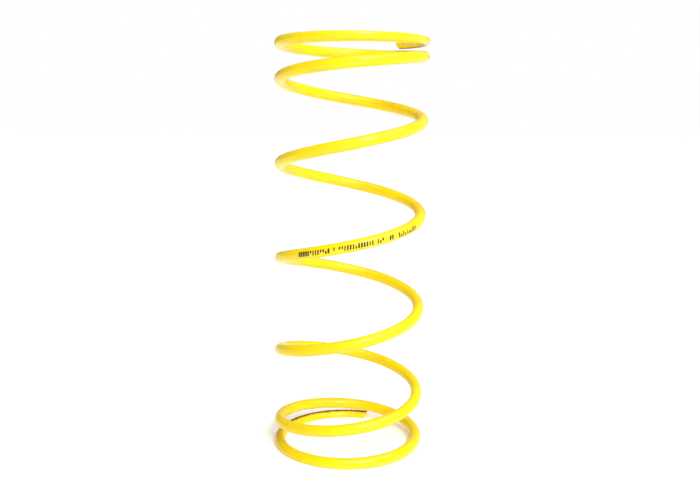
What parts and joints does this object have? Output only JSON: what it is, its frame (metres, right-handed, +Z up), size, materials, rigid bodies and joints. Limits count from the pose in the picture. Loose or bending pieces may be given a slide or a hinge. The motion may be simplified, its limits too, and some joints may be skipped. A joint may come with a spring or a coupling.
{
  "type": "coil compression spring",
  "caption": "Tall round-wire compression spring, wound right-handed, with closed ground ends and a glossy powder coat.",
  "frame": {"origin": "centre of the ground bottom end, on the plane that it rests on", "axes": "+Z up along the spring's axis; -Y is the side that carries the printed ring of marks; the wire's bottom tip is 73.5 degrees anticlockwise from +X, seen from above"},
  "size_m": [0.0568, 0.0568, 0.154],
  "materials": {
    "powder_coat": "glossy lemon-yellow powder coat over spring steel"
  },
  "bodies": {
    "bottom_end_coil": {"bottom_end_coil_1": "powder_coat", "bottom_end_coil_2": "powder_coat", "bottom_end_coil_3": "powder_coat", "bottom_end_coil_4": "powder_coat", "bottom_end_coil_5": "powder_coat", "bottom_end_coil_6": "powder_coat", "bottom_end_coil_7": "powder_coat", "bottom_end_coil_8": "powder_coat", "bottom_end_coil_9": "powder_coat"},
    "working_coil_1_1": {"working_coil_1_1": "powder_coat"},
    "working_coil_1_2": {"working_coil_1_2": "powder_coat"},
    "working_coil_1_3": {"working_coil_1_3": "powder_coat"},
    "working_coil_1_4": {"working_coil_1_4": "powder_coat"},
    "working_coil_1_5": {"working_coil_1_5": "powder_coat"},
    "working_coil_1_6": {"working_coil_1_6": "powder_coat"},
    "working_coil_1_7": {"working_coil_1_7": "powder_coat"},
    "working_coil_1_8": {"working_coil_1_8": "powder_coat"},
    "working_coil_2_1": {"working_coil_2_1": "powder_coat"},
    "working_coil_2_2": {"working_coil_2_2": "powder_coat"},
    "working_coil_2_3": {"working_coil_2_3": "powder_coat"},
    "working_coil_2_4": {"working_coil_2_4": "powder_coat"},
    "working_coil_2_5": {"working_coil_2_5": "powder_coat"},
    "working_coil_2_6": {"working_coil_2_6": "powder_coat"},
    "working_coil_2_7": {"working_coil_2_7": "powder_coat"},
    "working_coil_2_8": {"working_coil_2_8": "powder_coat"},
    "working_coil_3_1": {"working_coil_3_1": "powder_coat"},
    "working_coil_3_2": {"working_coil_3_2": "powder_coat"},
    "working_coil_3_3": {"working_coil_3_3": "powder_coat"},
    "working_coil_3_4": {"working_coil_3_4": "powder_coat"},
    "working_coil_3_5": {"working_coil_3_5": "powder_coat"},
    "working_coil_3_6": {"working_coil_3_6": "powder_coat"},
    "working_coil_3_7": {"working_coil_3_7": "powder_coat"},
    "working_coil_3_8": {"working_coil_3_8": "powder_coat"},
    "working_coil_4_1": {"working_coil_4_1": "powder_coat"},
    "working_coil_4_2": {"working_coil_4_2": "powder_coat"},
    "working_coil_4_3": {"working_coil_4_3": "powder_coat"},
    "working_coil_4_4": {"working_coil_4_4": "powder_coat"},
    "working_coil_4_5": {"working_coil_4_5": "powder_coat"},
    "working_coil_4_6": {"working_coil_4_6": "powder_coat"},
    "working_coil_4_7": {"working_coil_4_7": "powder_coat"},
    "working_coil_4_8": {"working_coil_4_8": "powder_coat"},
    "working_coil_5_1": {"working_coil_5_1": "powder_coat"},
    "working_coil_5_2": {"working_coil_5_2": "powder_coat"},
    "working_coil_5_3": {"working_coil_5_3": "powder_coat"},
    "working_coil_5_4": {"working_coil_5_4": "powder_coat"},
    "working_coil_5_5": {"working_coil_5_5": "powder_coat"},
    "working_coil_5_6": {"working_coil_5_6": "powder_coat"},
    "top_end_coil": {"top_end_coil_1": "powder_coat", "top_end_coil_2": "powder_coat", "top_end_coil_3": "powder_coat", "top_end_coil_4": "powder_coat", "top_end_coil_5": "powder_coat", "top_end_coil_6": "powder_coat", "top_end_coil_7": "powder_coat", "top_end_coil_8": "powder_coat", "top_end_coil_9": "powder_coat"}
  },
  "joints": [
    {"name": "spring_squeeze", "type": "slide", "parent": "bottom_end_coil", "child": "top_end_coil", "axis": [0, 0, -1], "range_m": [0, 0.11849], "stiffness_N_per_m": 4279},
    {"name": "squeeze_working_coil_1_1", "type": "slide", "parent": "bottom_end_coil", "child": "working_coil_1_1", "axis": [0, 0, -1], "range_m": [0, 0.00105]},
    {"name": "squeeze_working_coil_1_2", "type": "slide", "parent": "bottom_end_coil", "child": "working_coil_1_2", "axis": [0, 0, -1], "range_m": [0, 0.00242]},
    {"name": "squeeze_working_coil_1_3", "type": "slide", "parent": "bottom_end_coil", "child": "working_coil_1_3", "axis": [0, 0, -1], "range_m": [0, 0.00413]},
    {"name": "squeeze_working_coil_1_4", "type": "slide", "parent": "bottom_end_coil", "child": "working_coil_1_4", "axis": [0, 0, -1], "range_m": [0, 0.00617]},
    {"name": "squeeze_working_coil_1_5", "type": "slide", "parent": "bottom_end_coil", "child": "working_coil_1_5", "axis": [0, 0, -1], "range_m": [0, 0.00854]},
    {"name": "squeeze_working_coil_1_6", "type": "slide", "parent": "bottom_end_coil", "child": "working_coil_1_6", "axis": [0, 0, -1], "range_m": [0, 0.01123]},
    {"name": "squeeze_working_coil_1_7", "type": "slide", "parent": "bottom_end_coil", "child": "working_coil_1_7", "axis": [0, 0, -1], "range_m": [0, 0.01421]},
    {"name": "squeeze_working_coil_1_8", "type": "slide", "parent": "bottom_end_coil", "child": "working_coil_1_8", "axis": [0, 0, -1], "range_m": [0, 0.01745]},
    {"name": "squeeze_working_coil_2_1", "type": "slide", "parent": "bottom_end_coil", "child": "working_coil_2_1", "axis": [0, 0, -1], "range_m": [0, 0.02092]},
    {"name": "squeeze_working_coil_2_2", "type": "slide", "parent": "bottom_end_coil", "child": "working_coil_2_2", "axis": [0, 0, -1], "range_m": [0, 0.02457]},
    {"name": "squeeze_working_coil_2_3", "type": "slide", "parent": "bottom_end_coil", "child": "working_coil_2_3", "axis": [0, 0, -1], "range_m": [0, 0.02835]},
    {"name": "squeeze_working_coil_2_4", "type": "slide", "parent": "bottom_end_coil", "child": "working_coil_2_4", "axis": [0, 0, -1], "range_m": [0, 0.0322]},
    {"name": "squeeze_working_coil_2_5", "type": "slide", "parent": "bottom_end_coil", "child": "working_coil_2_5", "axis": [0, 0, -1], "range_m": [0, 0.03606]},
    {"name": "squeeze_working_coil_2_6", "type": "slide", "parent": "bottom_end_coil", "child": "working_coil_2_6", "axis": [0, 0, -1], "range_m": [0, 0.03993]},
    {"name": "squeeze_working_coil_2_7", "type": "slide", "parent": "bottom_end_coil", "child": "working_coil_2_7", "axis": [0, 0, -1], "range_m": [0, 0.04379]},
    {"name": "squeeze_working_coil_2_8", "type": "slide", "parent": "bottom_end_coil", "child": "working_coil_2_8", "axis": [0, 0, -1], "range_m": [0, 0.04765]},
    {"name": "squeeze_working_coil_3_1", "type": "slide", "parent": "bottom_end_coil", "child": "working_coil_3_1", "axis": [0, 0, -1], "range_m": [0, 0.05152]},
    {"name": "squeeze_working_coil_3_2", "type": "slide", "parent": "bottom_end_coil", "child": "working_coil_3_2", "axis": [0, 0, -1], "range_m": [0, 0.05538]},
    {"name": "squeeze_working_coil_3_3", "type": "slide", "parent": "bottom_end_coil", "child": "working_coil_3_3", "axis": [0, 0, -1], "range_m": [0, 0.05924]},
    {"name": "squeeze_working_coil_3_4", "type": "slide", "parent": "bottom_end_coil", "child": "working_coil_3_4", "axis": [0, 0, -1], "range_m": [0, 0.06311]},
    {"name": "squeeze_working_coil_3_5", "type": "slide", "parent": "bottom_end_coil", "child": "working_coil_3_5", "axis": [0, 0, -1], "range_m": [0, 0.06697]},
    {"name": "squeeze_working_coil_3_6", "type": "slide", "parent": "bottom_end_coil", "child": "working_coil_3_6", "axis": [0, 0, -1], "range_m": [0, 0.07084]},
    {"name": "squeeze_working_coil_3_7", "type": "slide", "parent": "bottom_end_coil", "child": "working_coil_3_7", "axis": [0, 0, -1], "range_m": [0, 0.0747]},
    {"name": "squeeze_working_coil_3_8", "type": "slide", "parent": "bottom_end_coil", "child": "working_coil_3_8", "axis": [0, 0, -1], "range_m": [0, 0.07856]},
    {"name": "squeeze_working_coil_4_1", "type": "slide", "parent": "bottom_end_coil", "child": "working_coil_4_1", "axis": [0, 0, -1], "range_m": [0, 0.08243]},
    {"name": "squeeze_working_coil_4_2", "type": "slide", "parent": "bottom_end_coil", "child": "working_coil_4_2", "axis": [0, 0, -1], "range_m": [0, 0.08629]},
    {"name": "squeeze_working_coil_4_3", "type": "slide", "parent": "bottom_end_coil", "child": "working_coil_4_3", "axis": [0, 0, -1], "range_m": [0, 0.09014]},
    {"name": "squeeze_working_coil_4_4", "type": "slide", "parent": "bottom_end_coil", "child": "working_coil_4_4", "axis": [0, 0, -1], "range_m": [0, 0.0939]},
    {"name": "squeeze_working_coil_4_5", "type": "slide", "parent": "bottom_end_coil", "child": "working_coil_4_5", "axis": [0, 0, -1], "range_m": [0, 0.09752]},
    {"name": "squeeze_working_coil_4_6", "type": "slide", "parent": "bottom_end_coil", "child": "working_coil_4_6", "axis": [0, 0, -1], "range_m": [0, 0.10095]},
    {"name": "squeeze_working_coil_4_7", "type": "slide", "parent": "bottom_end_coil", "child": "working_coil_4_7", "axis": [0, 0, -1], "range_m": [0, 0.10414]},
    {"name": "squeeze_working_coil_4_8", "type": "slide", "parent": "bottom_end_coil", "child": "working_coil_4_8", "axis": [0, 0, -1], "range_m": [0, 0.10706]},
    {"name": "squeeze_working_coil_5_1", "type": "slide", "parent": "bottom_end_coil", "child": "working_coil_5_1", "axis": [0, 0, -1], "range_m": [0, 0.10967]},
    {"name": "squeeze_working_coil_5_2", "type": "slide", "parent": "bottom_end_coil", "child": "working_coil_5_2", "axis": [0, 0, -1], "range_m": [0, 0.11197]},
    {"name": "squeeze_working_coil_5_3", "type": "slide", "parent": "bottom_end_coil", "child": "working_coil_5_3", "axis": [0, 0, -1], "range_m": [0, 0.11392]},
    {"name": "squeeze_working_coil_5_4", "type": "slide", "parent": "bottom_end_coil", "child": "working_coil_5_4", "axis": [0, 0, -1], "range_m": [0, 0.11555]},
    {"name": "squeeze_working_coil_5_5", "type": "slide", "parent": "bottom_end_coil", "child": "working_coil_5_5", "axis": [0, 0, -1], "range_m": [0, 0.11684]},
    {"name": "squeeze_working_coil_5_6", "type": "slide", "parent": "bottom_end_coil", "child": "working_coil_5_6", "axis": [0, 0, -1], "range_m": [0, 0.11782]}
  ],
  "couplings": [
    {"joint": "squeeze_working_coil_1_1", "follows": "spring_squeeze", "ratio": 0.008814},
    {"joint": "squeeze_working_coil_1_2", "follows": "spring_squeeze", "ratio": 0.020389},
    {"joint": "squeeze_working_coil_1_3", "follows": "spring_squeeze", "ratio": 0.034795},
    {"joint": "squeeze_working_coil_1_4", "follows": "spring_squeeze", "ratio": 0.052036},
    {"joint": "squeeze_working_coil_1_5", "follows": "spring_squeeze", "ratio": 0.072053},
    {"joint": "squeeze_working_coil_1_6", "follows": "spring_squeeze", "ratio": 0.094725},
    {"joint": "squeeze_working_coil_1_7", "follows": "spring_squeeze", "ratio": 0.11987},
    {"joint": "squeeze_working_coil_1_8", "follows": "spring_squeeze", "ratio": 0.14723},
    {"joint": "squeeze_working_coil_2_1", "follows": "spring_squeeze", "ratio": 0.1765},
    {"joint": "squeeze_working_coil_2_2", "follows": "spring_squeeze", "ratio": 0.20731},
    {"joint": "squeeze_working_coil_2_3", "follows": "spring_squeeze", "ratio": 0.23921},
    {"joint": "squeeze_working_coil_2_4", "follows": "spring_squeeze", "ratio": 0.2717},
    {"joint": "squeeze_working_coil_2_5", "follows": "spring_squeeze", "ratio": 0.30431},
    {"joint": "squeeze_working_coil_2_6", "follows": "spring_squeeze", "ratio": 0.33692},
    {"joint": "squeeze_working_coil_2_7", "follows": "spring_squeeze", "ratio": 0.36953},
    {"joint": "squeeze_working_coil_2_8", "follows": "spring_squeeze", "ratio": 0.40214},
    {"joint": "squeeze_working_coil_3_1", "follows": "spring_squeeze", "ratio": 0.43474},
    {"joint": "squeeze_working_coil_3_2", "follows": "spring_squeeze", "ratio": 0.46735},
    {"joint": "squeeze_working_coil_3_3", "follows": "spring_squeeze", "ratio": 0.49996},
    {"joint": "squeeze_working_coil_3_4", "follows": "spring_squeeze", "ratio": 0.53257},
    {"joint": "squeeze_working_coil_3_5", "follows": "spring_squeeze", "ratio": 0.56518},
    {"joint": "squeeze_working_coil_3_6", "follows": "spring_squeeze", "ratio": 0.59779},
    {"joint": "squeeze_working_coil_3_7", "follows": "spring_squeeze", "ratio": 0.6304},
    {"joint": "squeeze_working_coil_3_8", "follows": "spring_squeeze", "ratio": 0.66301},
    {"joint": "squeeze_working_coil_4_1", "follows": "spring_squeeze", "ratio": 0.69562},
    {"joint": "squeeze_working_coil_4_2", "follows": "spring_squeeze", "ratio": 0.72822},
    {"joint": "squeeze_working_coil_4_3", "follows": "spring_squeeze", "ratio": 0.76067},
    {"joint": "squeeze_working_coil_4_4", "follows": "spring_squeeze", "ratio": 0.79244},
    {"joint": "squeeze_working_coil_4_5", "follows": "spring_squeeze", "ratio": 0.82301},
    {"joint": "squeeze_working_coil_4_6", "follows": "spring_squeeze", "ratio": 0.85195},
    {"joint": "squeeze_working_coil_4_7", "follows": "spring_squeeze", "ratio": 0.87887},
    {"joint": "squeeze_working_coil_4_8", "follows": "spring_squeeze", "ratio": 0.90348},
    {"joint": "squeeze_working_coil_5_1", "follows": "spring_squeeze", "ratio": 0.92554},
    {"joint": "squeeze_working_coil_5_2", "follows": "spring_squeeze", "ratio": 0.94489},
    {"joint": "squeeze_working_coil_5_3", "follows": "spring_squeeze", "ratio": 0.96142},
    {"joint": "squeeze_working_coil_5_4", "follows": "spring_squeeze", "ratio": 0.97513},
    {"joint": "squeeze_working_coil_5_5", "follows": "spring_squeeze", "ratio": 0.98603},
    {"joint": "squeeze_working_coil_5_6", "follows": "spring_squeeze", "ratio": 0.99427}
  ]
}
